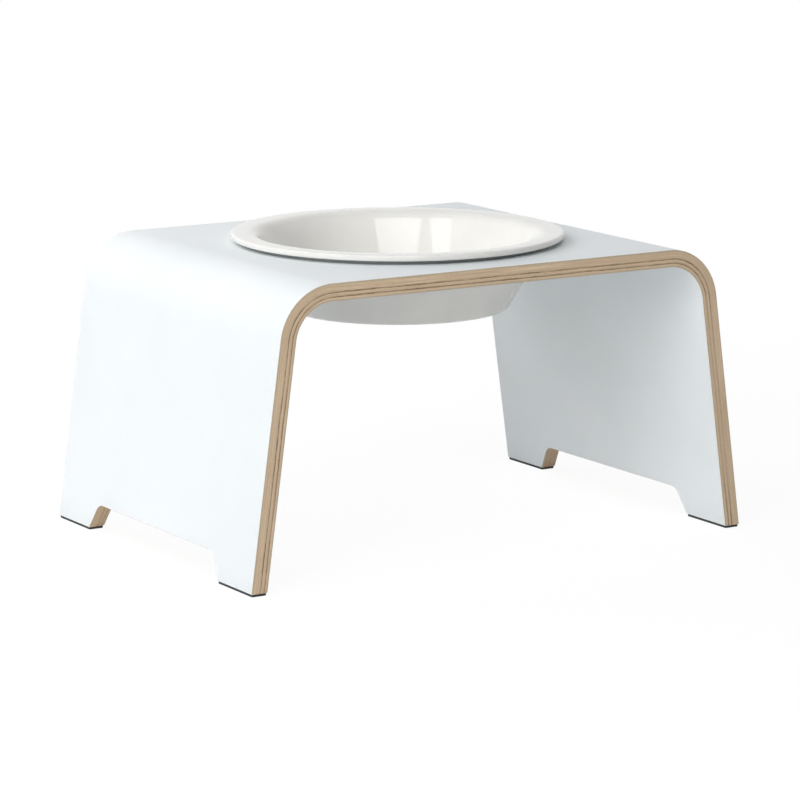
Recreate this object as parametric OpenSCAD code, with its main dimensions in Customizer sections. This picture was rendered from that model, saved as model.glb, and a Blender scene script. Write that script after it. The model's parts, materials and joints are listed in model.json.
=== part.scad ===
// Raised feeder: one bent plywood sheet on padded feet, with a loose bowl in a round cut-out.
// Millimetres. +X runs from leg to leg, the front edge faces -Y and +Z is up.
// The origin is on the floor, under the middle of the stand.

/* [Stand] */
// Height of the top face above the floor
stand_h = 170; // [150:1:260]
// Distance between the outer faces of the two legs, at the floor
foot_span = 332.7; // [315:0.1:420]
// Depth from the front edge to the back edge
stand_d = 234; // [215:1:320]
// Lean of each leg away from upright, in degrees
leg_splay = 7.9; // [0:0.1:10]
// Radius of the outer face round each bend
bend_r = 33.4; // [24:0.2:45]

/* [Plywood] */
// Thickness of the decorative laminate on each face
laminate_t = 0.8; // [0.5:0.05:1.2]
// Thickness of each veneer
veneer_t = 1.2; // [0.8:0.05:1.8]

/* [Feet] */
// Length of each foot, from the front or back edge to the notch, at its sole
foot_len = 39; // [25:1:55]
// Height of the notch's top above the floor
notch_h = 16.6; // [12:0.2:40]
// Slant of the notch's two sides away from upright, in degrees
notch_slant = 31; // [0:1:40]
// Radius of the notch's upper corners
notch_r = 8; // [2:0.5:9]
// Radius that eases the two long edges of each sole
sole_ease_r = 0.4; // [0.4:0.1:2]
// Thickness of the pad under each foot
pad_t = 1.5; // [1:0.1:3]
// Margin left beside a pad, along the two long edges of its sole
pad_side_margin = 0.4; // [0.3:0.1:2]
// Margin left at the two ends of a pad
pad_end_margin = 0.3; // [0.3:0.1:4]
// Radius of a pad's corners
pad_r = 1; // [0.5:0.1:2]

/* [Bowl] */
// Diameter of the straight neck under the rim
neck_dia = 172; // [150:1:185]
// Width of the rim, from the neck out to its edge
rim_w = 11.9; // [8:0.1:16]
// Thickness of the rim
rim_t = 3.5; // [3:0.1:8]
// How far the rim's top falls from its outer edge to its inner edge
rim_dish = 0.3; // [0:0.1:1]
// Radius of the rim's two outer edges
rim_edge_r = 0.8; // [0.3:0.1:1.4]
// Radius of the rim's inner edge, where the wall falls away
lip_r = 3; // [1:0.1:5]
// Height of the neck below the rim
neck_h = 6; // [4:0.5:12]
// Diameter of the base, where the wall's line meets it
base_dia = 131; // [90:1:150]
// Depth of the whole bowl, from the rim's top to its base
bowl_h = 45.5; // [35:0.1:90]
// Thickness of the wall, measured level
wall_t = 5.5; // [4:0.1:8]
// Thickness of the floor
floor_t = 5; // [4:0.1:8]
// Radius round the edge of the base
base_edge_r = 4; // [1:0.5:8]
// Radius where the inside wall meets the floor
floor_edge_r = 10; // [3:0.5:16]
// Width of the ring that the bowl stands on when it is taken out
stand_ring_w = 9; // [4:0.5:14]
// Depth of the hollow inside that ring
base_hollow = 1.5; // [0.5:0.1:3]

/* [Ring under the rim] */
// Thickness of the soft ring between the rim and the top face
ring_t = 2.3; // [1:0.1:4]
// How far the soft ring's edge lies inside the rim's edge
ring_inset = 5; // [0.2:0.1:6]
// Thickness of the ring's collar in the cut-out
collar_t = 1.2; // [0.8:0.1:3]
// Depth of the collar below the top face
collar_h = 4; // [2:0.5:8]
// Gap between the bowl's neck and the ring
neck_gap = 0.5; // [0.3:0.1:2]
// Gap between the collar and the edge of the cut-out
cutout_gap = 0.4; // [0.3:0.1:2]

/* [Hidden] */
$fn = 96;
// Steps round each corner of an outline, and round each bend of the sheet
corner_steps = 8;
bend_steps = 24;
// Extra length that carries a cut clear of what it cuts
cut_past = 10;

// The sheet: veneers counted from the outer face, with a laminate outside them and one inside
veneer_count = 7;
cross_veneers = [4, 6];
sheet_t = 2 * laminate_t + veneer_count * veneer_t;
function veneer_depth(index) = laminate_t + (index - 1) * veneer_t;

// The bends: both faces turn about one axis on each side
bend_z = stand_h - bend_r;
bend_x = foot_span / 2 - bend_z * tan(leg_splay) - bend_r / cos(leg_splay);

// The soles of the feet, on top of the pads
sole_out_x = foot_span / 2 - pad_t * tan(leg_splay);
sole_in_x = sole_out_x - sheet_t / cos(leg_splay);
sole_in_y = stand_d / 2 - foot_len;

// The notch between the feet: its upper corners touch the top and the slanted sides
notch_corner_z = notch_h - notch_r;
notch_side = sole_in_y * cos(notch_slant) + pad_t * sin(notch_slant);
notch_corner_y = (notch_side - notch_r - notch_corner_z * sin(notch_slant)) / cos(notch_slant);

// The bowl's heights and radii, from the top face up
rim_z = stand_h + ring_t;
rim_top = rim_z + rim_t;
neck_z = rim_z - neck_h;
base_z = rim_top - bowl_h;
floor_z = base_z + floor_t;
neck_radius = neck_dia / 2;
rim_radius = neck_radius + rim_w;
base_radius = base_dia / 2;
inner_neck_radius = neck_radius - wall_t;
inner_base_radius = base_radius - wall_t;
outer_slope = atan2(neck_z - base_z, neck_radius - base_radius);
inner_slope = atan2(neck_z - floor_z, inner_neck_radius - inner_base_radius);
base_corner_radius = base_radius - base_edge_r * tan(outer_slope / 2);
floor_corner_radius = inner_base_radius - floor_edge_r * tan(inner_slope / 2);
hollow_radius = base_corner_radius - stand_ring_w;

// The soft ring and the cut-out that it lines
ring_inner_radius = neck_radius + neck_gap;
ring_outer_radius = rim_radius - ring_inset;
collar_radius = ring_inner_radius + collar_t;
cutout_radius = collar_radius + cutout_gap;

// Points along an arc from one angle to another
function arc(centre, radius, from, to, steps = corner_steps) =
    [for (step = [0 : steps])
        let (angle = from + (to - from) * step / steps)
        centre + radius * [cos(angle), sin(angle)]];

// The same points in the opposite order
function reversed(points) = [for (index = [len(points) - 1 : -1 : 0]) points[index]];

// How far the eased edges lift the sole at a depth below the stand's outer face
function sole_lift(depth) =
    let (inset = max(0, sole_ease_r - min(depth, sheet_t - depth)))
    sole_ease_r - sqrt(pow(sole_ease_r, 2) - pow(inset, 2));

// Line through the sheet seen from the front, from the right sole over the top to the left sole
function sheet_line(depth) =
    let (lift = sole_lift(depth))
    let (right = concat(
        [[sole_out_x - lift * tan(leg_splay) - depth / cos(leg_splay), pad_t + lift]],
        arc([bend_x, bend_z], bend_r - depth, leg_splay, 90, bend_steps)))
    concat(right, [for (point = reversed(right)) [-point[0], point[1]]]);

// One layer of the sheet, its outer face lying at a depth below the stand's outer face
module bent_layer(depth, thickness) {
    difference() {
        rotate([90, 0, 0])
            linear_extrude(stand_d, center = true)
                polygon(concat(sheet_line(depth), reversed(sheet_line(depth + thickness))));
        notches();
        cutout();
    }
}

// The notches that leave two feet on each leg
module notches() {
    low_z = pad_t - cut_past;
    low_y = sole_in_y + cut_past * tan(notch_slant);
    rotate([90, 0, 90])
        linear_extrude(foot_span + 2 * cut_past, center = true)
            polygon(concat(
                [[low_y, low_z]],
                arc([notch_corner_y, notch_corner_z], notch_r, notch_slant, 90),
                arc([-notch_corner_y, notch_corner_z], notch_r, 90, 180 - notch_slant),
                [[-low_y, low_z]]));
}

// The round hole that the bowl hangs in
module cutout() {
    translate([0, 0, stand_h - sheet_t - cut_past])
        cylinder(h = sheet_t + 2 * cut_past, r = cutout_radius);
}

// White laminate on the outer face
module outer_laminate() {
    color("whitesmoke") bent_layer(0, laminate_t);
}

// One veneer, with its grain along the sheet or across it
module veneer(index) {
    across = len(search(index, cross_veneers)) > 0;
    color(across ? "peru" : "burlywood") bent_layer(veneer_depth(index), veneer_t);
}

// White laminate on the inner face
module inner_laminate() {
    color("whitesmoke") bent_layer(sheet_t - laminate_t, laminate_t);
}

// Soft ring between the rim and the top face, with a collar that lines the cut-out
module bowl_ring() {
    color("darkslategray")
        rotate_extrude()
            polygon([
                [ring_inner_radius, stand_h - collar_h],
                [collar_radius, stand_h - collar_h],
                [collar_radius, stand_h],
                [ring_outer_radius, stand_h],
                [ring_outer_radius, rim_z],
                [ring_inner_radius, rim_z]]);
}

// Flanged bowl with a tapered wall, a rounded lip and a hollow base
module bowl() {
    color("ivory")
        rotate_extrude()
            polygon(concat(
                [[0, base_z + base_hollow],
                    [hollow_radius, base_z + base_hollow],
                    [hollow_radius, base_z]],
                arc([base_corner_radius, base_z + base_edge_r], base_edge_r, -90, outer_slope - 90),
                [[neck_radius, neck_z],
                    [neck_radius, rim_z]],
                arc([rim_radius - rim_edge_r, rim_z + rim_edge_r], rim_edge_r, -90, 0),
                arc([rim_radius - rim_edge_r, rim_top - rim_edge_r], rim_edge_r, 0, 90),
                arc([inner_neck_radius + lip_r, rim_top - rim_dish - lip_r], lip_r, 90, 180),
                [[inner_neck_radius, neck_z]],
                arc([floor_corner_radius, floor_z + floor_edge_r], floor_edge_r, inner_slope - 90, -90),
                [[0, floor_z]]));
}

// Rectangle with rounded corners, centred on the origin
module rounded_rectangle(size, radius) {
    corner_x = size[0] / 2 - radius;
    corner_y = size[1] / 2 - radius;
    polygon(concat(
        arc([corner_x, corner_y], radius, 0, 90),
        arc([-corner_x, corner_y], radius, 90, 180),
        arc([-corner_x, -corner_y], radius, 180, 270),
        arc([corner_x, -corner_y], radius, 270, 360)));
}

// Rubber pad on the sole of the foot on the given side and end, each -1 or 1
module foot_pad(side, end) {
    centre_x = (sole_in_x + sole_out_x) / 2;
    centre_y = (sole_in_y + stand_d / 2) / 2;
    pad_w = sole_out_x - sole_in_x - 2 * pad_side_margin;
    pad_l = foot_len - 2 * pad_end_margin;
    color("dimgray")
        translate([side * centre_x, end * centre_y, 0])
            linear_extrude(pad_t)
                rounded_rectangle([pad_w, pad_l], pad_r);
}

outer_laminate();
veneer(1);  // veneer_1
veneer(2);  // veneer_2
veneer(3);  // veneer_3
veneer(4);  // veneer_4
veneer(5);  // veneer_5
veneer(6);  // veneer_6
veneer(7);  // veneer_7
inner_laminate();
bowl_ring();
bowl();
foot_pad(-1, -1);  // pad_front_left
foot_pad(1, -1);  // pad_front_right
foot_pad(-1, 1);  // pad_back_left
foot_pad(1, 1);  // pad_back_right
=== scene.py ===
"""Looks for a raised dog feeder: a bent plywood stand with white laminate faces, and a loose glazed bowl.

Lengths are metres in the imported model's frame. +X runs from leg to leg, the front edge faces -Y, +Z is up.
"""

import json
import logging
import math
from collections import Counter
from collections.abc import Iterable, Sequence
from dataclasses import dataclass, field
from enum import Enum

import bpy
from mathutils import Color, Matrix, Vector


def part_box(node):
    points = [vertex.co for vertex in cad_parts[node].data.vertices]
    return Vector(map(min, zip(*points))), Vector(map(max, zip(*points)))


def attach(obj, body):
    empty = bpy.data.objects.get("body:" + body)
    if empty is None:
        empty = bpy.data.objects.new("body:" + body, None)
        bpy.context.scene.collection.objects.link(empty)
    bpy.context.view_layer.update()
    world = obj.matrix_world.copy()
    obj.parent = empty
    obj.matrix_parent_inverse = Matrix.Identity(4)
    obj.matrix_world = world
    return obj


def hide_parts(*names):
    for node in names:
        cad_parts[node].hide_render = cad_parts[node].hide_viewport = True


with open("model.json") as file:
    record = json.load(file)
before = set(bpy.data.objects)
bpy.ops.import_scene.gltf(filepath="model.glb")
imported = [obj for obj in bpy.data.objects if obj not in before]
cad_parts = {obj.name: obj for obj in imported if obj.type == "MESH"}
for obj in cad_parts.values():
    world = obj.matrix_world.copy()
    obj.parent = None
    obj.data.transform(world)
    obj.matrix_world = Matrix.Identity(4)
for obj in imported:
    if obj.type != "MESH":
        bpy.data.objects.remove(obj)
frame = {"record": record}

Coords = tuple[float, float, float]
Flat = tuple[float, float]
Colour = tuple[float, float, float, float]
Loop = tuple[int, ...]

MM = 0.001
AXES = 3
SHARP_ANGLE = math.radians(32)
SCREEN_TOP = 255
WHITE: Colour = (1.0, 1.0, 1.0, 1.0)

# Attributes of the sheet's meshes that the veneers' finish reads
PLACE = "sheet_place"
THROUGH = "layer_through"
END_GRAIN = "end_grain"

# Bands of noise that a finish spreads over its colours or its roughness
NONE_TO_ALL: Flat = (0.0, 1.0)
WIDE_BAND: Flat = (0.3, 0.7)
NARROW_BAND: Flat = (0.35, 0.65)

# Numbers of the colour sockets on a mix node
MIX_SHARE = 0
MIX_FIRST = 6
MIX_SECOND = 7
MIX_RESULT = 2

log = logging.getLogger("feeder")


def colour(red: float, green: float, blue: float) -> Colour:
    """Turns screen values from 0 to 255 into a linear colour.

    Args:
        red: red as it shows on a screen.
        green: green as it shows on a screen.
        blue: blue as it shows on a screen.

    Returns:
        The linear colour, opaque.
    """
    screen = Color((red / SCREEN_TOP, green / SCREEN_TOP, blue / SCREEN_TOP))
    return (*screen.from_srgb_to_scene_linear(), 1.0)


def arc(centre: Flat, radius: float, start: float, end: float, steps: int) -> list[Flat]:
    """Lists points along an arc.

    Args:
        centre: middle of the arc.
        radius: radius of the arc.
        start: first angle in degrees.
        end: last angle in degrees.
        steps: number of straight steps.

    Returns:
        The points from the first angle to the last.
    """
    angles = [math.radians(start + (end - start) * step / steps) for step in range(steps + 1)]
    return [(centre[0] + radius * math.cos(a), centre[1] + radius * math.sin(a)) for a in angles]


def fillet(before: Flat, corner: Flat, after: Flat, radius: float, steps: int) -> list[Flat]:
    """Rounds a corner of an outline.

    Args:
        before: point of the outline before the corner.
        corner: the sharp corner.
        after: point of the outline after the corner.
        radius: radius of the round.
        steps: number of straight steps.

    Returns:
        The points of the round, from the side of the point before to that of the point after.
    """
    inward = (Vector(before) - Vector(corner)).normalized()
    onward = (Vector(after) - Vector(corner)).normalized()
    half = inward.angle(onward) / 2
    middle = Vector(corner) + (inward + onward).normalized() * radius / math.sin(half)
    start = (Vector(corner) + inward * radius / math.tan(half) - middle).normalized()
    end = (Vector(corner) + onward * radius / math.tan(half) - middle).normalized()
    return [tuple(middle + start.slerp(end, step / steps) * radius) for step in range(steps + 1)]


def spread(stops: Sequence[float], longest: float) -> list[float]:
    """Fills the gaps between stops with even steps.

    Args:
        stops: places that have to stay, in rising order.
        longest: longest step allowed.

    Returns:
        The stops and the steps between them.
    """
    places = [stops[0]]
    for low, high in zip(stops, stops[1:]):
        count = max(1, math.ceil((high - low) / longest))
        places += [low + (high - low) * step / count for step in range(1, count + 1)]
    return places


def between(first: Sequence[float], second: Sequence[float], share: float) -> tuple[float, ...]:
    """Returns the point that lies a share of the way from one point to another."""
    return tuple(a + (b - a) * share for a, b in zip(first, second))


def make_piece(name: str, points: Iterable[Sequence[float]], faces: Iterable[Loop]) -> bpy.types.Object:
    """Makes a smooth-shaded mesh with crisp corners and puts it in the scene.

    Args:
        name: name of the piece.
        points: places of its vertices.
        faces: vertex numbers of each face, in turning order.

    Returns:
        The new object.
    """
    mesh = bpy.data.meshes.new(name)
    mesh.from_pydata([tuple(point) for point in points], [], list(faces))
    mesh.shade_smooth()
    mesh.set_sharp_from_angle(angle=SHARP_ANGLE)
    piece = bpy.data.objects.new(name, mesh)
    bpy.context.scene.collection.objects.link(piece)
    return piece


def rings(rows: int, count: int, closed: bool = False) -> list[Loop]:
    """Lists the faces between rows of points, each row a ring.

    Args:
        rows: number of rows.
        count: number of points in a row.
        closed: whether the last row joins the first.

    Returns:
        The vertex numbers of each face.
    """
    faces: list[Loop] = []
    for row in range(rows if closed else rows - 1):
        low = row * count
        high = (row + 1) % rows * count
        for step in range(count):
            after = (step + 1) % count
            faces.append((low + step, low + after, high + after, high + step))
    return faces


def lathe(name: str, outline: Sequence[Flat], steps: int) -> bpy.types.Object:
    """Turns an outline about the Z axis.

    Args:
        name: name of the piece.
        outline: radius and height of each point, round the section with the solid on its left. An outline
            that starts and ends on the axis is left open there, and any other one is closed.
        steps: number of steps round the axis.

    Returns:
        The new object.
    """
    solid = outline[0][0] == 0
    turned = outline[1:-1] if solid else outline
    points = [
        (radius * math.cos(math.tau * step / steps), radius * math.sin(math.tau * step / steps), z)
        for radius, z in turned
        for step in range(steps)
    ]
    faces = rings(len(turned), steps, closed=not solid)
    if solid:
        last = len(points) - steps
        bottom = len(points)
        top = bottom + 1
        points += [(0, 0, outline[0][1]), (0, 0, outline[-1][1])]
        faces += [(bottom, (step + 1) % steps, step) for step in range(steps)]
        faces += [(last + step, last + (step + 1) % steps, top) for step in range(steps)]
    return make_piece(name, points, faces)


def adopt(piece: bpy.types.Object, node: str) -> None:
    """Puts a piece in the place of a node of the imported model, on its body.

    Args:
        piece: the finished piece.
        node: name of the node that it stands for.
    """
    record = frame["record"]
    body = next(name for name, nodes in record["behaviour"]["bodies"].items() if node in nodes)
    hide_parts(node)
    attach(piece, body)
    log.info("%s stands for %s on %s with %d faces", piece.name, node, body, len(piece.data.polygons))


class Noise(Enum):
    """Kind of noise: how many finer layers it has, and how strong they are."""

    SOFT = (2.0, 0.5)
    RIPPLED = (2.0, 0.45)
    CLOUDY = (3.0, 0.5)
    GRITTY = (3.0, 0.6)
    COARSE = (4.0, 0.65)
    STREAKED = (4.0, 0.55)
    PATCHED = (2.0, 0.55)
    PORED = (1.0, 0.55)


class Shading:
    """Nodes of a material, the floor or the world, added one at a time."""

    def __init__(self, owner: bpy.types.Material | bpy.types.World) -> None:
        """Starts with the owner's own surface shader.

        Args:
            owner: material or world whose nodes are added.
        """
        owner.use_nodes = True
        self.owner: bpy.types.Material | bpy.types.World = owner
        self.tree: bpy.types.NodeTree = owner.node_tree
        self.output: bpy.types.Node = next(node for node in self.tree.nodes if "Output" in node.bl_idname)
        self.shader: bpy.types.Node = self.output.inputs["Surface"].links[0].from_node

    @classmethod
    def of(cls, name: str) -> "Shading":
        """Starts a new material with one surface shader."""
        return cls(bpy.data.materials.new(name))

    def fill(self, node: bpy.types.Node, socket: str | int, value: object) -> None:
        """Links a socket to another node's output, or sets its value.

        Args:
            node: node that has the socket.
            socket: name or number of the input.
            value: output to link, or plain value to set.
        """
        if isinstance(value, bpy.types.NodeSocket):
            self.tree.links.new(value, node.inputs[socket])
        else:
            node.inputs[socket].default_value = value

    def add(self, kind: str, inputs: dict[str | int, object], **settings: object) -> bpy.types.Node:
        """Adds a node.

        Args:
            kind: Blender's name for the node.
            inputs: values or sockets by the input's name or number.
            **settings: properties of the node itself.

        Returns:
            The new node.
        """
        node = self.tree.nodes.new(kind)
        for name, value in settings.items():
            setattr(node, name, value)
        for socket, value in inputs.items():
            self.fill(node, socket, value)
        return node

    def attribute(self, name: str, output: str) -> bpy.types.NodeSocket:
        """Reads an attribute of the mesh as one of its outputs."""
        return self.add("ShaderNodeAttribute", {}, attribute_name=name).outputs[output]

    def coords(self) -> bpy.types.NodeSocket:
        """Reads the place on the object, in metres."""
        return self.add("ShaderNodeTexCoord", {}).outputs["Object"]

    def stretched(self, place: bpy.types.NodeSocket, *lengths: float) -> bpy.types.NodeSocket:
        """Divides a place by a length on each axis, or by one length, so that a pattern has that size."""
        scale = tuple(1 / length for length in (lengths if len(lengths) > 1 else lengths * AXES))
        return self.add("ShaderNodeVectorMath", {0: place, 1: scale}, operation="MULTIPLY").outputs[0]

    def noise(self, place: bpy.types.NodeSocket, kind: Noise, *lengths: float) -> bpy.types.NodeSocket:
        """Adds noise.

        Args:
            place: place that the noise is read at.
            kind: kind of noise.
            *lengths: size of its features, as one length or one on each axis.

        Returns:
            The noise, mostly within the wide band.
        """
        detail, roughness = kind.value
        sizes = {"Vector": self.stretched(place, *lengths), "Scale": 1.0}
        layers = {"Detail": detail, "Roughness": roughness}
        return self.add("ShaderNodeTexNoise", sizes | layers).outputs["Fac"]

    def remap(self, value: bpy.types.NodeSocket, source: Flat, target: Flat) -> bpy.types.NodeSocket:
        """Maps one range of values to another and stops at its ends."""
        inputs = dict(enumerate((value, *source, *target)))
        return self.add("ShaderNodeMapRange", inputs, clamp=True).outputs["Result"]

    def math(self, operation: str, *values: object) -> bpy.types.NodeSocket:
        """Combines values by one operation of arithmetic."""
        return self.add("ShaderNodeMath", dict(enumerate(values)), operation=operation).outputs[0]

    def mix(self, share: object, first: object, second: object, blend: str = "MIX") -> bpy.types.NodeSocket:
        """Mixes two colours by a share of the second."""
        inputs = {MIX_SHARE: share, MIX_FIRST: first, MIX_SECOND: second}
        return self.add("ShaderNodeMix", inputs, data_type="RGBA", blend_type=blend).outputs[MIX_RESULT]

    def bump(self, height: bpy.types.NodeSocket, strength: float, depth: float) -> None:
        """Tilts the surface by a height that the nodes give."""
        inputs = {"Height": height, "Strength": strength, "Distance": depth}
        self.fill(self.shader, "Normal", self.add("ShaderNodeBump", inputs).outputs["Normal"])

    def surface(self, **values: object) -> bpy.types.Material:
        """Sets or links the shader's own sockets.

        Args:
            **values: a value or socket for each shader input, with _ for a space in its name.

        Returns:
            The finished material.
        """
        for name, value in values.items():
            self.fill(self.shader, name.replace("_", " "), value)
        return self.owner


@dataclass(frozen=True)
class LaminateFinish:
    """Satin white decorative laminate with a fine pressed texture."""

    light: Colour = colour(240, 244, 246)
    shade: Colour = colour(236, 241, 243)
    cloud: float = 60 * MM
    pebble: float = 0.45 * MM
    relief: Flat = (0.12, 0.02 * MM)
    roughness: Flat = (0.5, 0.6)
    specular: float = 0.3

    def material(self) -> bpy.types.Material:
        """Builds the laminate's material.

        Returns:
            The finished material.
        """
        nodes = Shading.of("white_laminate")
        place = nodes.coords()
        cloud = nodes.noise(place, Noise.CLOUDY, self.cloud)
        nodes.bump(nodes.noise(place, Noise.SOFT, self.pebble), *self.relief)
        return nodes.surface(
            Base_Color=nodes.mix(nodes.remap(cloud, NARROW_BAND, NONE_TO_ALL), self.shade, self.light),
            Roughness=nodes.remap(cloud, WIDE_BAND, self.roughness),
            Specular_IOR_Level=self.specular,
        )


@dataclass(frozen=True)
class MatteFinish:
    """Matte finish whose colour, roughness and relief follow one fine noise.

    Attributes:
        name: name of the material.
        light: colour of the pale flecks.
        dark: colour of the dark ones.
        grit: size of a fleck.
        noise: kind of noise that the flecks follow.
        relief: strength and depth of the flecks' relief.
        roughness: roughness of the dark flecks and of the pale ones.
        specular: level of the shader's reflection.
    """

    name: str
    light: Colour
    dark: Colour
    grit: float = 0.6 * MM
    noise: Noise = Noise.GRITTY
    relief: Flat = (0.3, 0.05 * MM)
    roughness: Flat = (0.55, 0.75)
    specular: float = 0.35

    def material(self) -> bpy.types.Material:
        """Builds the material.

        Returns:
            The finished material.
        """
        nodes = Shading.of(self.name)
        grit = nodes.noise(nodes.coords(), self.noise, self.grit)
        nodes.bump(grit, *self.relief)
        return nodes.surface(
            Base_Color=nodes.mix(nodes.remap(grit, WIDE_BAND, NONE_TO_ALL), self.dark, self.light),
            Roughness=nodes.remap(grit, WIDE_BAND, self.roughness),
            Specular_IOR_Level=self.specular,
        )


@dataclass(frozen=True)
class RubberFinish(MatteFinish):
    """Dark or grey soft rubber with a matte moulded skin."""


@dataclass(frozen=True)
class CoreFinish(MatteFinish):
    """Cut edge of the laminate, where its tan paper core shows."""

    name: str = "laminate_core"
    light: Colour = colour(210, 194, 170)
    dark: Colour = colour(188, 171, 146)
    grit: float = 0.9 * MM
    relief: Flat = (0.2, 0.03 * MM)
    roughness: Flat = (0.5, 0.65)
    specular: float = 0.5


@dataclass(frozen=True)
class BiscuitFinish(MatteFinish):
    """Bare fired body under the bowl, ground flat and left unglazed."""

    name: str = "bare_biscuit"
    light: Colour = colour(222, 214, 200)
    dark: Colour = colour(200, 190, 172)
    grit: float = 0.7 * MM
    noise: Noise = Noise.COARSE
    relief: Flat = (0.4, 0.06 * MM)
    roughness: Flat = (0.75, 0.9)
    specular: float = 0.5


class Grain(Enum):
    """Way that a veneer's grain runs in the sheet."""

    LONG = "long_veneer"
    CROSS = "cross_veneer"


@dataclass(frozen=True)
class VeneerFinish:
    """Sanded beech veneer, seen at its cut edge.

    Attributes:
        grain: way that the grain runs.
        light: colour of the pale wood.
        dark: colour of the darker streaks.
        pore: colour of the pores.
        cut_tint: what a cut across the grain does to the colour.
        streak: length and width of a streak.
        streak_band: band of noise from the darkest streak to the palest.
        patch: length and width of a broad change of tone.
        patch_share: share of the darker colour that a patch takes on.
        pores: length and width of a pore.
        pore_band: band of noise from no pore to a full one.
        pore_share: share of the pores' colour in a full pore.
        line: colour of the dark line that a cross veneer shows where its grain is cut.
        line_middle: share of the veneer's thickness where that line runs.
        line_reach: shares of the thickness at which the line starts to fade and ends.
        wander: length of the line's slow bends.
        wander_reach: how far it bends, as a share of the thickness.
        fray: length and width of the line's ragged edge.
        fray_reach: how far that edge frays, as a share of the thickness.
        fade: length of the line's changes of strength.
        fade_band: band of noise that those changes follow.
        fade_share: weakest and full strength of the line.
        plain_leg: stretch of the sheet, from its middle, over which the line fades on the right leg.
        plain_share: share of the line that is left on that leg.
        plain_foot: stretch over which the line comes back near the right foot.
        foot_share: share of the line at that foot.
        relief: strength and depth of the grain's relief.
        roughness: roughness of the dark streaks and of the pale ones.
        specular: level of the shader's reflection.
    """

    grain: Grain
    light: Colour
    dark: Colour
    pore: Colour = colour(132, 104, 76)
    cut_tint: Colour = (0.74, 0.70, 0.66, 1.0)
    streak: Flat = (42 * MM, 0.5 * MM)
    streak_band: Flat = (0.32, 0.68)
    patch: Flat = (60 * MM, 6 * MM)
    patch_share: float = 0.2
    pores: Flat = (3.5 * MM, 0.16 * MM)
    pore_band: Flat = (0.62, 0.72)
    pore_share: float = 0.4
    line: Colour = colour(126, 99, 72)
    line_middle: float = 0.76
    line_reach: Flat = (0.12, 0.42)
    wander: float = 38 * MM
    wander_reach: float = 0.3
    fray: Flat = (5 * MM, 0.3 * MM)
    fray_reach: float = 0.3
    fade: float = 26 * MM
    fade_band: Flat = (0.35, 0.6)
    fade_share: Flat = (0.6, 1.0)
    plain_leg: Flat = (150 * MM, 180 * MM)
    plain_share: float = 0.2
    plain_foot: Flat = (262 * MM, 272 * MM)
    foot_share: float = 0.75
    relief: Flat = (0.25, 0.05 * MM)
    roughness: Flat = (0.62, 0.5)
    specular: float = 0.35

    def grain_noise(self, nodes: Shading, kind: Noise, size: Flat) -> bpy.types.NodeSocket:
        """Adds noise that is drawn out along the grain.

        Args:
            nodes: nodes of the veneer's material.
            kind: kind of noise.
            size: length of a feature along the grain and its width across it.

        Returns:
            The noise, from 0 to 1.
        """
        length, width = size
        shape = (length, width, width) if self.grain is Grain.LONG else (width, length, width)
        return nodes.noise(nodes.attribute(PLACE, "Vector"), kind, *shape)

    def dark_line(self, nodes: Shading) -> bpy.types.NodeSocket:
        """Adds the uneven dark line of a cross veneer.

        Args:
            nodes: nodes of the veneer's material.

        Returns:
            The share of the line's colour, from 0 to 1.
        """
        place = nodes.attribute(PLACE, "Vector")
        length, width = self.fray
        slow = nodes.noise(place, Noise.SOFT, self.wander)
        quick = nodes.noise(place, Noise.GRITTY, length, length, width)
        bend = nodes.remap(slow, WIDE_BAND, (-self.wander_reach, self.wander_reach))
        rag = nodes.remap(quick, WIDE_BAND, (-self.fray_reach, self.fray_reach))
        depth = nodes.math("SUBTRACT", nodes.attribute(THROUGH, "Fac"), self.line_middle)
        off = nodes.math("ABSOLUTE", nodes.math("ADD", depth, bend))
        near = nodes.remap(nodes.math("ADD", off, rag), self.line_reach, (1, 0))
        along = nodes.add("ShaderNodeSeparateXYZ", {0: place}).outputs["X"]
        leg = nodes.remap(along, self.plain_leg, (1, self.plain_share))
        foot = nodes.remap(along, self.plain_foot, (0, self.foot_share))
        strength = nodes.remap(nodes.noise(place, Noise.CLOUDY, self.fade), self.fade_band, self.fade_share)
        share = nodes.math("MULTIPLY", strength, nodes.math("MAXIMUM", leg, foot))
        return nodes.math("MULTIPLY", near, share)

    def material(self) -> bpy.types.Material:
        """Builds the veneer's material.

        Returns:
            The finished material.
        """
        nodes = Shading.of(self.grain.value)
        streak = self.grain_noise(nodes, Noise.STREAKED, self.streak)
        patch = self.grain_noise(nodes, Noise.PATCHED, self.patch)
        pores = nodes.remap(self.grain_noise(nodes, Noise.PORED, self.pores), self.pore_band, NONE_TO_ALL)
        cut = nodes.attribute(END_GRAIN, "Fac")
        wood = nodes.mix(nodes.remap(streak, self.streak_band, NONE_TO_ALL), self.dark, self.light)
        wood = nodes.mix(nodes.remap(patch, NARROW_BAND, (self.patch_share, 0)), wood, self.dark)
        wood = nodes.mix(nodes.math("MULTIPLY", pores, self.pore_share), wood, self.pore)
        if self.grain is Grain.CROSS:
            wood = nodes.mix(nodes.math("MULTIPLY", self.dark_line(nodes), cut), wood, self.line)
        else:
            wood = nodes.mix(cut, wood, nodes.mix(1.0, wood, self.cut_tint, "MULTIPLY"))
        nodes.bump(nodes.math("SUBTRACT", streak, pores), *self.relief)
        return nodes.surface(
            Base_Color=wood,
            Roughness=nodes.remap(streak, WIDE_BAND, self.roughness),
            Specular_IOR_Level=self.specular,
        )


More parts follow.
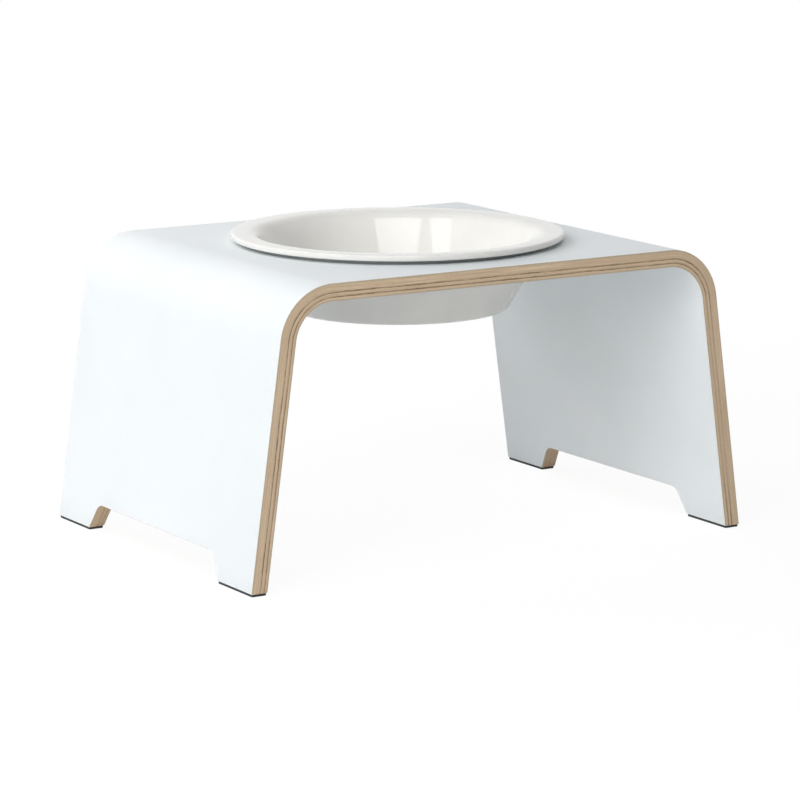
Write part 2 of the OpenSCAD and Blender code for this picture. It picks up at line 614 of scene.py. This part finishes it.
@dataclass(frozen=True)
class GlazeFinish:
    """Gloss white glaze over a fired body."""

    light: Colour = colour(242, 241, 237)
    pooled: Colour = colour(238, 237, 233)
    speck: Colour = colour(196, 188, 172)
    ripple: float = 22 * MM
    speck_gap: float = 9 * MM
    speck_band: Flat = (0.02, 0.03)
    speck_share: float = 0.4
    relief: Flat = (0.05, 0.4 * MM)
    roughness: Flat = (0.03, 0.06)

    def material(self) -> bpy.types.Material:
        """Builds the glaze's material.

        Returns:
            The finished material.
        """
        nodes = Shading.of("white_glaze")
        place = nodes.coords()
        ripple = nodes.noise(place, Noise.RIPPLED, self.ripple)
        cells = {"Vector": nodes.stretched(place, self.speck_gap), "Scale": 1.0}
        specks = nodes.add("ShaderNodeTexVoronoi", cells).outputs["Distance"]
        glaze = nodes.mix(nodes.remap(ripple, NARROW_BAND, NONE_TO_ALL), self.pooled, self.light)
        glaze = nodes.mix(nodes.remap(specks, self.speck_band, (self.speck_share, 0)), glaze, self.speck)
        nodes.bump(ripple, *self.relief)
        return nodes.surface(Base_Color=glaze, Roughness=nodes.remap(ripple, WIDE_BAND, self.roughness))


class Zone(Enum):
    """Stretch of the bent sheet that a point of its flat pattern lies on."""

    LEG = "leg"
    BEND = "bend"
    TOP = "top"


@dataclass(frozen=True)
class PatternPoint:
    """Point of the sheet's flat pattern.

    Attributes:
        zone: stretch of the sheet.
        side: -1 on the left half and 1 on the right half.
        share: share of the leg or bend that lies below the point, or the point's X on the top.
        y: place from front to back.
    """

    zone: Zone
    side: int
    share: float
    y: float


@dataclass(frozen=True)
class StandShape:
    """Sizes of the bent sheet, its feet and its cut-out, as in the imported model."""

    height: float = 170 * MM
    foot_span: float = 332.7 * MM
    depth: float = 234 * MM
    splay: float = math.radians(7.9)
    bend_radius: float = 33.4 * MM
    sheet: float = 10 * MM
    foot_length: float = 39 * MM
    notch_height: float = 16.6 * MM
    notch_slant: float = math.radians(31)
    notch_radius: float = 8 * MM
    sole_ease: float = 0.4 * MM
    pad: float = 1.5 * MM
    cutout_radius: float = 88.1 * MM
    corner_ease: float = 0.25 * MM

    @property
    def bend_z(self) -> float:
        """Height of the axis that each bend turns about."""
        return self.height - self.bend_radius

    @property
    def bend_x(self) -> float:
        """Distance of that axis from the middle."""
        foot = self.foot_span / 2 - self.bend_z * math.tan(self.splay)
        return foot - self.bend_radius / math.cos(self.splay)

    @property
    def sole_y(self) -> float:
        """Where the sole ends at the notch, from the middle."""
        return self.depth / 2 - self.foot_length

    @property
    def notch_corner(self) -> Flat:
        """Middle of the notch's upper corner.

        Returns:
            Its place from front to back and its height.
        """
        z = self.notch_height - self.notch_radius
        side = self.sole_y * math.cos(self.notch_slant) + self.pad * math.sin(self.notch_slant)
        y = (side - self.notch_radius - z * math.sin(self.notch_slant)) / math.cos(self.notch_slant)
        return (y, z)

    def notch_z(self, y: float) -> float:
        """Gives the height of the notch's edge, or of the sole beside it.

        Args:
            y: place from front to back.

        Returns:
            The height above the floor.
        """
        reach = abs(y)
        corner_y, corner_z = self.notch_corner
        if reach >= self.sole_y:
            return self.pad
        if reach <= corner_y:
            return self.notch_height
        if reach <= corner_y + self.notch_radius * math.cos(self.notch_slant):
            return corner_z + math.sqrt(self.notch_radius**2 - (reach - corner_y) ** 2)
        return self.pad + (self.sole_y - reach) / math.tan(self.notch_slant)

    def sole_lift(self, depth: float) -> float:
        """Gives how far the eased long edges lift the sole at a depth below the outer face."""
        inset = self.sole_ease - min(self.sole_ease, max(0.0, min(depth, self.sheet - depth)))
        return self.sole_ease - math.sqrt(self.sole_ease**2 - inset**2)

    def foot(self, y: float, depth: float) -> Flat:
        """Gives the lower end of the right leg at a place from front to back, as X and Z."""
        z = max(self.notch_z(y), self.pad + self.sole_lift(depth))
        return (self.foot_span / 2 - z * math.tan(self.splay) - depth / math.cos(self.splay), z)

    def bent(self, angle: float, depth: float) -> Flat:
        """Gives a point round the right bend, as X and Z, from an angle above level."""
        radius = self.bend_radius - depth
        return (self.bend_x + radius * math.cos(angle), self.bend_z + radius * math.sin(angle))

    def place(self, point: PatternPoint, depth: float) -> Coords:
        """Bends a point of the flat pattern to its place on the stand.

        Args:
            point: point of the pattern.
            depth: depth below the stand's outer face.

        Returns:
            The point on the stand.
        """
        if point.zone is Zone.TOP:
            return (point.share, point.y, self.height - depth)
        if point.zone is Zone.BEND:
            x, z = self.bent(self.splay + (math.pi / 2 - self.splay) * point.share, depth)
        else:
            x, z = between(self.foot(point.y, depth), self.bent(self.splay, depth), point.share)
        return (point.side * x, point.y, z)

    def flat(self, point: PatternPoint) -> Flat:
        """Gives a point's place on the sheet before bending.

        Args:
            point: point of the pattern.

        Returns:
            Its distance from the middle along the sheet and across it.
        """
        if point.zone is Zone.TOP:
            return (point.share, point.y)
        bend = (self.bend_radius - self.sheet / 2) * (math.pi / 2 - self.splay)
        if point.zone is Zone.BEND:
            return (point.side * (self.bend_x + bend * (1 - point.share)), point.y)
        drop = self.bent(self.splay, 0)[1] - self.foot(point.y, self.sheet / 2)[1]
        leg = drop / math.cos(self.splay)
        return (point.side * (self.bend_x + bend + leg * (1 - point.share)), point.y)


class SheetPattern:
    """Flat pattern of the sheet with its notches and cut-out, which every layer bends to its own depth."""

    column_step: float = 6 * MM
    leg_rows: int = 8
    bend_rows: int = 24
    corner_columns: int = 8
    hole_rings: int = 4

    def __init__(self, shape: StandShape) -> None:
        """Lays out the points and quads.

        Args:
            shape: sizes of the stand.
        """
        self.shape: StandShape = shape
        self.points: list[PatternPoint] = []
        self.quads: list[Loop] = []
        columns = self._columns()
        self._add_top(self._add_leg(-1, columns), self._add_leg(1, columns))
        self.edges: list[tuple[int, int]] = self._outline()
        self.edge_points: list[int] = sorted({number for edge in self.edges for number in edge})

    def _columns(self) -> list[float]:
        """Lists the columns, which run along the sheet.

        Returns:
            The columns' places from front to back.
        """
        shape = self.shape
        corner_y, _ = shape.notch_corner
        slant = math.degrees(shape.notch_slant)
        corner = [y for y, _ in arc((corner_y, 0), shape.notch_radius, 90, slant, self.corner_columns)]
        eased = shape.sole_y - shape.sole_ease * math.tan(shape.notch_slant)
        half = corner + [eased, shape.sole_y, shape.depth / 2 - shape.corner_ease, shape.depth / 2]
        return spread([-y for y in reversed(half)] + half, self.column_step)

    def _add(self, zone: Zone, side: int, share: float, y: float) -> int:
        """Adds a point and returns its number."""
        self.points.append(PatternPoint(zone, side, share, y))
        return len(self.points) - 1

    def _strip(self, first: Sequence[int], second: Sequence[int]) -> None:
        """Joins two rows of points by quads that face out of the stand.

        Args:
            first: points of one row.
            second: points of the other row.
        """
        for start in range(len(first) - 1):
            quad = (first[start], first[start + 1], second[start + 1], second[start])
            flat = [self.shape.flat(self.points[number]) for number in quad]
            area = sum(a[0] * b[1] - b[0] * a[1] for a, b in zip(flat, flat[1:] + flat[:1]))
            self.quads.append(quad if area > 0 else quad[::-1])

    def _add_leg(self, side: int, columns: list[float]) -> list[int]:
        """Adds a leg and its bend.

        Args:
            side: -1 for the left and 1 for the right.
            columns: places of the columns from front to back.

        Returns:
            The row of points where the bend meets the top.
        """
        shape = self.shape
        first = shape.corner_ease / shape.bend_z
        legs = [0.0] + [first + (1 - first) * row / self.leg_rows for row in range(self.leg_rows)]
        rows = [(Zone.LEG, share) for share in legs]
        rows += [(Zone.BEND, row / self.bend_rows) for row in range(self.bend_rows)]
        rows.append((Zone.TOP, side * shape.bend_x))
        last: list[int] = []
        for zone, share in rows:
            row = [self._add(zone, side, share, y) for y in columns]
            if last:
                self._strip(last, row)
            last = row
        return last

    def _add_top(self, left: list[int], right: list[int]) -> None:
        """Adds the flat top: a narrow strip at the front and back, and rings between them and the cut-out.

        Args:
            left: points where the left bend meets the top, from front to back.
            right: points where the right bend meets the top, from front to back.
        """
        shape = self.shape
        across = spread([-shape.bend_x, shape.bend_x], self.column_step)[1:-1]
        inner_rows = []
        for outer, inner in ((0, 1), (-1, -2)):
            y = [self.points[left[number]].y for number in (outer, inner)]
            edge = [self._add(Zone.TOP, 1, x, y[0]) for x in across]
            row = [self._add(Zone.TOP, 1, x, y[1]) for x in across]
            self._strip([left[outer], *edge, right[outer]], [left[inner], *row, right[inner]])
            inner_rows.append(row)
        front, back = inner_rows
        border = right[1:-1] + back[::-1] + left[1:-1][::-1] + front
        last = border
        for ring in range(1, self.hole_rings + 2):
            row = [self._toward_hole(number, ring) for number in border]
            self._strip([*last, last[0]], [*row, row[0]])
            last = row

    def _toward_hole(self, number: int, ring: int) -> int:
        """Adds the point of a ring that lies between a border point and the cut-out.

        Args:
            number: the border point.
            ring: number of the ring. The last but one runs just outside the cut-out, and the last on it.

        Returns:
            The new point's number.
        """
        point = self.points[number]
        reach = math.hypot(point.share, point.y)
        radius = self.shape.cutout_radius
        if ring < self.hole_rings:
            radius += (reach - radius) * (1 - ring / self.hole_rings)
        elif ring == self.hole_rings:
            radius += self.shape.corner_ease
        return self._add(Zone.TOP, 1, point.share * radius / reach, point.y * radius / reach)

    def _outline(self) -> list[tuple[int, int]]:
        """Lists the edges of the sheet's outline.

        Returns:
            The edges that belong to one quad only, in that quad's turning order.
        """
        pairs = [pair for quad in self.quads for pair in zip(quad, quad[1:] + quad[:1])]
        count = Counter(frozenset(pair) for pair in pairs)
        return [pair for pair in pairs if count[frozenset(pair)] == 1]

    def margin(self) -> set[int]:
        """Lists the quads that run along the sheet's outline."""
        edge = set(self.edge_points)
        return {number for number, quad in enumerate(self.quads) if len(edge.intersection(quad)) > 1}

    def end_grain(self, edge: tuple[int, int]) -> float:
        """Gives how squarely an edge cuts across the sheet's length, from 0 to 1."""
        (ax, ay), (bx, by) = (self.shape.flat(self.points[number]) for number in edge)
        return (by - ay) ** 2 / ((bx - ax) ** 2 + (by - ay) ** 2)


@dataclass
class SheetLayer:
    """One layer of the sheet: a laminate or a veneer.

    Attributes:
        node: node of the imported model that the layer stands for.
        outer: depth of its outer face below the stand's outer face.
        inner: depth of its inner face.
        pattern: flat pattern of the sheet.
        grain: way that its grain runs, or None for a laminate.
        wall_rows: rows of faces across the cut edge.
    """

    node: str
    outer: float
    inner: float
    pattern: SheetPattern
    grain: Grain | None = None
    wall_rows: int = 3
    points: list[Coords] = field(default_factory=list)
    places: list[Coords] = field(default_factory=list)

    def _put(self, number: int, depth: float) -> int:
        """Adds a vertex.

        Args:
            number: point of the pattern.
            depth: depth below the stand's outer face.

        Returns:
            The vertex's number.
        """
        point = self.pattern.points[number]
        self.points.append(self.pattern.shape.place(point, depth))
        self.places.append((*self.pattern.shape.flat(point), depth))
        return len(self.points) - 1

    def _face(self, depth: float, edge_depth: float) -> list[int]:
        """Adds a vertex for every point of the pattern on one face.

        Args:
            depth: depth of the face below the stand's outer face.
            edge_depth: depth of the points on the outline.

        Returns:
            The vertices' numbers.
        """
        edge = set(self.pattern.edge_points)
        numbers = range(len(self.pattern.points))
        return [self._put(number, edge_depth if number in edge else depth) for number in numbers]

    def shows(self, depth: float) -> bool:
        """Tells whether a face of the layer is one of the stand's own two faces."""
        shape = self.pattern.shape
        return self.grain is None and min(depth, abs(shape.sheet - depth)) < shape.corner_ease

    def build(self) -> bpy.types.Object:
        """Builds the layer's mesh with the places that its finish reads.

        Returns:
            The new piece.
        """
        pattern = self.pattern
        ease = pattern.shape.corner_ease
        start = self.outer + ease if self.shows(self.outer) else self.outer
        end = self.inner - ease if self.shows(self.inner) else self.inner
        outer = self._face(self.outer, start)
        inner = self._face(self.inner, end)
        rows = [outer]
        for row in range(1, self.wall_rows):
            depth = start + (end - start) * row / self.wall_rows
            rows.append({number: self._put(number, depth) for number in pattern.edge_points})
        rows.append(inner)
        faces = [tuple(outer[number] for number in quad) for quad in pattern.quads]
        faces += [tuple(inner[number] for number in reversed(quad)) for quad in pattern.quads]
        cuts = [0.0] * len(faces)
        for upper, lower in zip(rows, rows[1:]):
            faces += [(upper[b], upper[a], lower[a], lower[b]) for a, b in pattern.edges]
            squares = [pattern.end_grain(edge) for edge in pattern.edges]
            cuts += [1 - square for square in squares] if self.grain is Grain.CROSS else squares
        piece = make_piece(f"{self.node}_layer", self.points, faces)
        self._store(piece.data, cuts)
        return piece

    def _store(self, mesh: bpy.types.Mesh, cuts: list[float]) -> None:
        """Stores what the finish reads: places on the sheet, depths in the layer and cut directions.

        Args:
            mesh: the layer's mesh.
            cuts: how squarely each face cuts the grain, from 0 to 1.
        """
        through = [(place[2] - self.outer) / (self.inner - self.outer) for place in self.places]
        flat = [value for place in self.places for value in place]
        mesh.attributes.new(PLACE, "FLOAT_VECTOR", "POINT").data.foreach_set("vector", flat)
        mesh.attributes.new(THROUGH, "FLOAT", "POINT").data.foreach_set("value", through)
        mesh.attributes.new(END_GRAIN, "FLOAT", "FACE").data.foreach_set("value", cuts)

    def dress(self, piece: bpy.types.Object, face: bpy.types.Material, cut: bpy.types.Material) -> None:
        """Gives the layer's faces and sole one finish, and its other cut edges and eased corners another.

        Args:
            piece: the layer's piece.
            face: finish of its faces and of the sole.
            cut: finish of its other cut edges.
        """
        piece.data.materials.append(face)
        piece.data.materials.append(cut)
        count = len(self.pattern.quads)
        margin = self.pattern.margin()
        eased = margin if self.shows(self.outer) else {count + number for number in margin}
        sole_z = self.pattern.shape.pad + self.pattern.shape.sole_ease
        for polygon in piece.data.polygons:
            edge = polygon.index >= 2 * count or polygon.index in eased
            polygon.material_index = int(edge and polygon.center.z > sole_z)


@dataclass
class PlywoodStand:
    """The bent plywood sheet: a laminate on each face and veneers between them."""

    shape: StandShape = field(default_factory=StandShape)
    laminate: LaminateFinish = field(default_factory=LaminateFinish)
    core: CoreFinish = field(default_factory=CoreFinish)
    veneers: tuple[VeneerFinish, ...] = (
        VeneerFinish(Grain.LONG, colour(240, 217, 186), colour(207, 181, 149)),
        VeneerFinish(Grain.CROSS, colour(229, 203, 173), colour(197, 170, 140)),
    )

    def layer_nodes(self) -> list[str]:
        """Lists the nodes of the sheet's layers.

        Returns:
            The nodes' names from the outer face to the inner one.
        """
        nodes = [part["node"] for part in frame["record"]["subparts"]]
        middle = self.shape.height / 2
        sheets = [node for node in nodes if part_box(node)[0].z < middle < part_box(node)[1].z]
        return sorted(sheets, key=lambda node: -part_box(node)[1].z)

    def build(self) -> None:
        """Builds and dresses every layer of the sheet."""
        pattern = SheetPattern(self.shape)
        slots = {part["node"]: part["material_slot"] for part in frame["record"]["subparts"]}
        grains = {grain.value: grain for grain in Grain}
        finishes = {finish.grain.value: (finish.material(),) * 2 for finish in self.veneers}
        finishes["laminate"] = (self.laminate.material(), self.core.material())
        nodes = self.layer_nodes()
        depths = [self.shape.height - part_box(node)[1].z for node in nodes] + [self.shape.sheet]
        for node, outer, inner in zip(nodes, depths, depths[1:]):
            layer = SheetLayer(node, outer, inner, pattern, grains.get(slots[node]))
            piece = layer.build()
            layer.dress(piece, *finishes[slots[node]])
            adopt(piece, node)


@dataclass
class GlazedBowl:
    """The loose bowl: a tapered wall, a dished flange that hangs on the ring, and a hollow base."""

    node: str = "bowl"
    neck_radius: float = 86 * MM
    neck_height: float = 6 * MM
    neck_round: float = 6 * MM
    rim: float = 3.5 * MM
    rim_dish: float = 0.3 * MM
    rim_edge: float = 1.2 * MM
    rim_root: float = 1.2 * MM
    lip: float = 9 * MM
    lip_radius: float = 83 * MM
    wall: float = 5.5 * MM
    waist_radius: float = 70.3 * MM
    waist_round: float = 250 * MM
    base_radius: float = 65.5 * MM
    base_edge: float = 4 * MM
    floor: float = 5 * MM
    floor_edge: float = 10 * MM
    stand_ring: float = 9 * MM
    hollow: float = 1.5 * MM
    hollow_edge: float = 1 * MM
    arc_steps: int = 8
    turn_steps: int = 192
    glaze: GlazeFinish = field(default_factory=GlazeFinish)
    biscuit: BiscuitFinish = field(default_factory=BiscuitFinish)

    def outline(self) -> list[Flat]:
        """Lists the bowl's section.

        Returns:
            The points from the middle of the base, round the rim, to the middle of the floor.
        """
        low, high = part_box(self.node)
        rim_radius = high.x
        under = high.z - self.rim
        floor = low.z + self.floor
        steps = self.arc_steps
        ring_inner = self.base_radius - self.base_edge - self.stand_ring
        base = (self.base_radius, low.z)
        neck = (self.neck_radius, under - self.neck_height)
        root = (self.neck_radius, under)
        edge = (rim_radius - self.rim_edge, under + self.rim_edge)
        top = (edge[0], high.z)
        lip = (self.lip_radius, high.z - self.rim_dish)
        bottom = (self.base_radius - self.wall, floor)
        waist = (self.waist_radius, (lip[1] + floor) / 2)
        hollow = (ring_inner, low.z + self.hollow)
        ground = (ring_inner, low.z)
        return [
            (0.0, low.z + self.hollow),
            *fillet((0.0, hollow[1]), hollow, ground, self.hollow_edge / 2, steps),
            *fillet(hollow, ground, base, self.hollow_edge / 2, steps),
            *fillet(ground, base, neck, self.base_edge, steps),
            *fillet(base, neck, root, self.neck_round, steps),
            *fillet(neck, root, (rim_radius, under), self.rim_root, steps),
            *arc(edge, self.rim_edge, -90, 0, steps),
            *arc((edge[0], high.z - self.rim_edge), self.rim_edge, 0, 90, steps),
            *fillet(top, lip, waist, self.lip, steps),
            *fillet(lip, waist, bottom, self.waist_round, steps),
            *fillet(waist, bottom, (0.0, floor), self.floor_edge, steps),
            (0.0, floor),
        ]

    def build(self) -> None:
        """Builds the bowl and leaves the ring that it is fired on unglazed."""
        piece = lathe("glazed_bowl", self.outline(), self.turn_steps)
        piece.data.materials.append(self.glaze.material())
        piece.data.materials.append(self.biscuit.material())
        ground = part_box(self.node)[0].z + self.hollow_edge / 2
        vertices = piece.data.vertices
        for polygon in piece.data.polygons:
            polygon.material_index = int(all(vertices[v].co.z < ground for v in polygon.vertices))
        adopt(piece, self.node)


@dataclass
class SoftRing:
    """The soft ring under the bowl's rim, with a collar that lines the cut-out."""

    node: str = "bowl_ring"
    flange: float = 2.3 * MM
    inner_radius: float = 86.5 * MM
    collar: float = 1.2 * MM
    edge: float = 0.5 * MM
    arc_steps: int = 5
    turn_steps: int = 192
    rubber: RubberFinish = RubberFinish("ring_rubber", colour(140, 145, 145), colour(122, 127, 127))

    def outline(self) -> list[Flat]:
        """Lists the ring's section with its edges rounded.

        Returns:
            The points, turning left.
        """
        low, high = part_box(self.node)
        flange = high.z - self.flange
        corners = [
            (self.inner_radius, low.z),
            (self.inner_radius + self.collar, low.z),
            (self.inner_radius + self.collar, flange),
            (high.x, flange),
            (high.x, high.z),
            (self.inner_radius, high.z),
        ]
        points: list[Flat] = []
        for number, corner in enumerate(corners):
            after = corners[(number + 1) % len(corners)]
            points += fillet(corners[number - 1], corner, after, self.edge, self.arc_steps)
        return points

    def build(self) -> None:
        """Builds the ring."""
        piece = lathe("soft_ring", self.outline(), self.turn_steps)
        piece.data.materials.append(self.rubber.material())
        adopt(piece, self.node)


@dataclass
class FootPads:
    """The four rubber pads under the feet."""

    prefix: str = "pad_"
    corner: float = 1 * MM
    edge: float = 0.3 * MM
    arc_steps: int = 6
    rubber: RubberFinish = RubberFinish("pad_rubber", colour(58, 62, 61), colour(44, 48, 47))

    def outline(self, middle: Vector, size: Vector, inset: float) -> list[Flat]:
        """Lists a rectangle with round corners, drawn in by an inset.

        Args:
            middle: middle of the pad.
            size: full size of the pad.
            inset: how far the outline is drawn in.

        Returns:
            The points, turning left.
        """
        points: list[Flat] = []
        for start, x_sign, y_sign in ((0, 1, 1), (90, -1, 1), (180, -1, -1), (270, 1, -1)):
            centre = (
                middle.x + x_sign * (size.x / 2 - self.corner),
                middle.y + y_sign * (size.y / 2 - self.corner),
            )
            points += arc(centre, self.corner - inset, start, start + 90, self.arc_steps)
        return points

    def build(self) -> None:
        """Builds the four pads."""
        rubber = self.rubber.material()
        nodes = [part["node"] for part in frame["record"]["subparts"]]
        for node in (name for name in nodes if name.startswith(self.prefix)):
            low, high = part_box(node)
            middle = (low + high) / 2
            rounds = arc((0.0, 0.0), self.edge, -90, 0, self.arc_steps)
            levels = [(self.edge - x, low.z + self.edge + z) for x, z in rounds]
            levels += [(inset, low.z + high.z - z) for inset, z in reversed(levels)]
            points = [
                (*point, z)
                for inset, z in levels
                for point in self.outline(middle, high - low, inset)
            ]
            count = len(points) // len(levels)
            faces = rings(len(levels), count)
            faces += [tuple(reversed(range(count))), tuple(range(len(points) - count, len(points)))]
            piece = make_piece(f"{node}_soft", points, faces)
            piece.data.materials.append(rubber)
            adopt(piece, node)


def aim(thing: bpy.types.Object, target: Coords, azimuth: float, elevation: float, distance: float) -> None:
    """Puts a camera or lamp in the scene so that it points at a target.

    Args:
        thing: the camera or lamp.
        target: point that it looks at.
        azimuth: degrees from straight in front, rising towards the right.
        elevation: degrees above level.
        distance: distance from the target.
    """
    turn = math.radians(azimuth)
    rise = math.radians(elevation)
    away = Vector((math.sin(turn) * math.cos(rise), -math.cos(turn) * math.cos(rise), math.sin(rise)))
    thing.location = Vector(target) + away * distance
    thing.rotation_euler = away.to_track_quat("Z", "Y").to_euler()
    bpy.context.scene.collection.objects.link(thing)


@dataclass(frozen=True)
class Viewpoint:
    """Camera that sees the feeder as the photograph does.

    Attributes:
        azimuth: degrees from straight in front, rising towards the right.
        elevation: degrees above level.
        distance: distance from the target.
        target: point in the middle of the picture.
        focal_pixels: focal length in pixels of the picture.
        picture_pixels: width of the picture in pixels.
        sensor: width of the camera's sensor in millimetres.
    """

    azimuth: float = -31.739
    elevation: float = 11.0
    distance: float = 2.22237
    target: Coords = (0.00182, 0.0, 0.07394)
    focal_pixels: float = 3745.1
    picture_pixels: float = 800
    sensor: float = 36

    def build(self) -> None:
        """Sets up the camera."""
        camera = bpy.data.cameras.new("viewpoint")
        camera.sensor_width = self.sensor
        camera.lens = self.focal_pixels / self.picture_pixels * self.sensor
        stand = bpy.data.objects.new("viewpoint", camera)
        aim(stand, self.target, self.azimuth, self.elevation, self.distance)
        bpy.context.scene.camera = stand


@dataclass(frozen=True)
class Softbox:
    """Wide studio lamp that points at the feeder.

    Attributes:
        name: name of the lamp.
        azimuth: degrees from straight in front, rising towards the right.
        elevation: degrees above level.
        distance: distance from the feeder.
        width: width of the lamp.
        height: height of the lamp.
        power: power in watts.
        mirrored: whether gloss shows the lamp, as the bowl does the two windows.
    """

    name: str
    azimuth: float
    elevation: float
    distance: float
    width: float
    height: float
    power: float
    mirrored: bool = False

    def build(self, target: Coords) -> None:
        """Sets up the lamp, unseen by the camera.

        Args:
            target: point that the lamp faces.
        """
        lamp = bpy.data.lights.new(self.name, "AREA")
        lamp.shape = "RECTANGLE"
        lamp.size = self.width
        lamp.size_y = self.height
        lamp.energy = self.power
        stand = bpy.data.objects.new(self.name, lamp)
        stand.visible_camera = False
        stand.visible_glossy = self.mirrored
        aim(stand, target, self.azimuth, self.elevation, self.distance)


@dataclass
class Studio:
    """Pale floor, softboxes and an even surround.

    Attributes:
        middle: point that the lamps face.
        floor_size: width of the floor.
        floor_colour: the floor as it lights the feeder.
        shadow_colour: the floor's light as it shows, which a shadow takes away.
        floor_glow: light that shows as well, in the shadow too.
        shadow_reach: distances from the middle at which the shadow starts to fade and ends.
        surround: strength of the even light.
        background: strength at which the background shows as white.
        softboxes: the lamps.
    """

    middle: Coords = (0.0, 0.0, 0.1)
    floor_size: float = 4.0
    floor_colour: Colour = colour(236, 236, 236)
    shadow_colour: Colour = (0.12, 0.12, 0.12, 1.0)
    floor_glow: float = 0.91
    shadow_reach: Flat = (0.35, 0.9)
    surround: float = 0.155
    background: float = 1.0
    softboxes: tuple[Softbox, ...] = (
        Softbox("front_window", -32.5, 53, distance=1.6, width=0.85, height=0.7, power=6.2, mirrored=True),
        Softbox("side_window", -86.5, 51, distance=1.6, width=0.38, height=0.7, power=2.4, mirrored=True),
        Softbox("left_front_panel", -65, 18, distance=2.4, width=1.6, height=1.0, power=25.0),
        Softbox("left_back_panel", -145, 42, distance=1.0, width=0.7, height=0.5, power=2.8),
        Softbox("back_panel", 180, 10, distance=1.6, width=1.4, height=0.8, power=9.5),
        Softbox("right_panel", 92, 4, distance=1.5, width=1.4, height=0.3, power=4.5),
        Softbox("right_back_panel", 140, 9, distance=1.6, width=1.4, height=0.5, power=2.0),
    )

    def build(self) -> None:
        """Sets up the floor, the surround, the lamps and the camera."""
        self._floor()
        self._surround()
        for softbox in self.softboxes:
            softbox.build(self.middle)
        Viewpoint().build()
        bpy.context.scene.view_settings.view_transform = "Standard"

    def _split(self, nodes: Shading, lit: bpy.types.NodeSocket, seen: bpy.types.NodeSocket) -> None:
        """Lights the feeder by one shader and shows another to the camera, in gloss and through glass.

        Args:
            nodes: nodes of the floor's material or of the world.
            lit: shader that lights the feeder.
            seen: shader that shows as the background.
        """
        rays = nodes.add("ShaderNodeLightPath", {}).outputs
        gloss = nodes.math("MAXIMUM", rays["Is Glossy Ray"], rays["Is Transmission Ray"])
        share = nodes.math("MAXIMUM", rays["Is Camera Ray"], gloss)
        both = nodes.add("ShaderNodeMixShader", {0: share, 1: lit, 2: seen}).outputs[0]
        nodes.fill(nodes.output, "Surface", both)

    def _floor(self) -> None:
        """Lays a pale floor that shows as white and keeps the feeder's shadow."""
        half = self.floor_size / 2
        corners = [(-half, -half, 0.0), (half, -half, 0.0), (half, half, 0.0), (-half, half, 0.0)]
        floor = make_piece("studio_floor", corners, [(0, 1, 2, 3)])
        nodes = Shading.of("pale_floor")
        nodes.tree.nodes.remove(nodes.shader)
        place = {0: nodes.coords()}
        distance = nodes.add("ShaderNodeVectorMath", place, operation="LENGTH").outputs["Value"]
        far = nodes.remap(distance, self.shadow_reach, NONE_TO_ALL)
        plain = nodes.add("ShaderNodeBsdfDiffuse", {"Color": self.floor_colour}).outputs[0]
        shadow = nodes.add("ShaderNodeBsdfDiffuse", {"Color": self.shadow_colour}).outputs[0]
        glow = nodes.add("ShaderNodeEmission", {"Strength": self.floor_glow}).outputs[0]
        near = nodes.add("ShaderNodeAddShader", {0: shadow, 1: glow}).outputs[0]
        white = nodes.add("ShaderNodeEmission", {"Strength": self.background}).outputs[0]
        shown = nodes.add("ShaderNodeMixShader", {0: far, 1: near, 2: white}).outputs[0]
        self._split(nodes, plain, shown)
        floor.data.materials.append(nodes.owner)

    def _surround(self) -> None:
        """Surrounds the feeder with even light that shows as white."""
        world = bpy.data.worlds.new("studio_surround")
        nodes = Shading(world)
        nodes.fill(nodes.shader, "Color", WHITE)
        nodes.fill(nodes.shader, "Strength", self.surround)
        white = nodes.add("ShaderNodeBackground", {"Color": WHITE, "Strength": self.background}).outputs[0]
        self._split(nodes, nodes.shader.outputs[0], white)
        bpy.context.scene.world = world


def main() -> None:
    """Builds the feeder piece by piece, then the studio around it."""
    logging.basicConfig(level=logging.INFO, format="%(name)s: %(message)s")
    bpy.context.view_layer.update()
    PlywoodStand().build()
    SoftRing().build()
    GlazedBowl().build()
    FootPads().build()
    Studio().build()


if __name__ == "__main__":
    main()
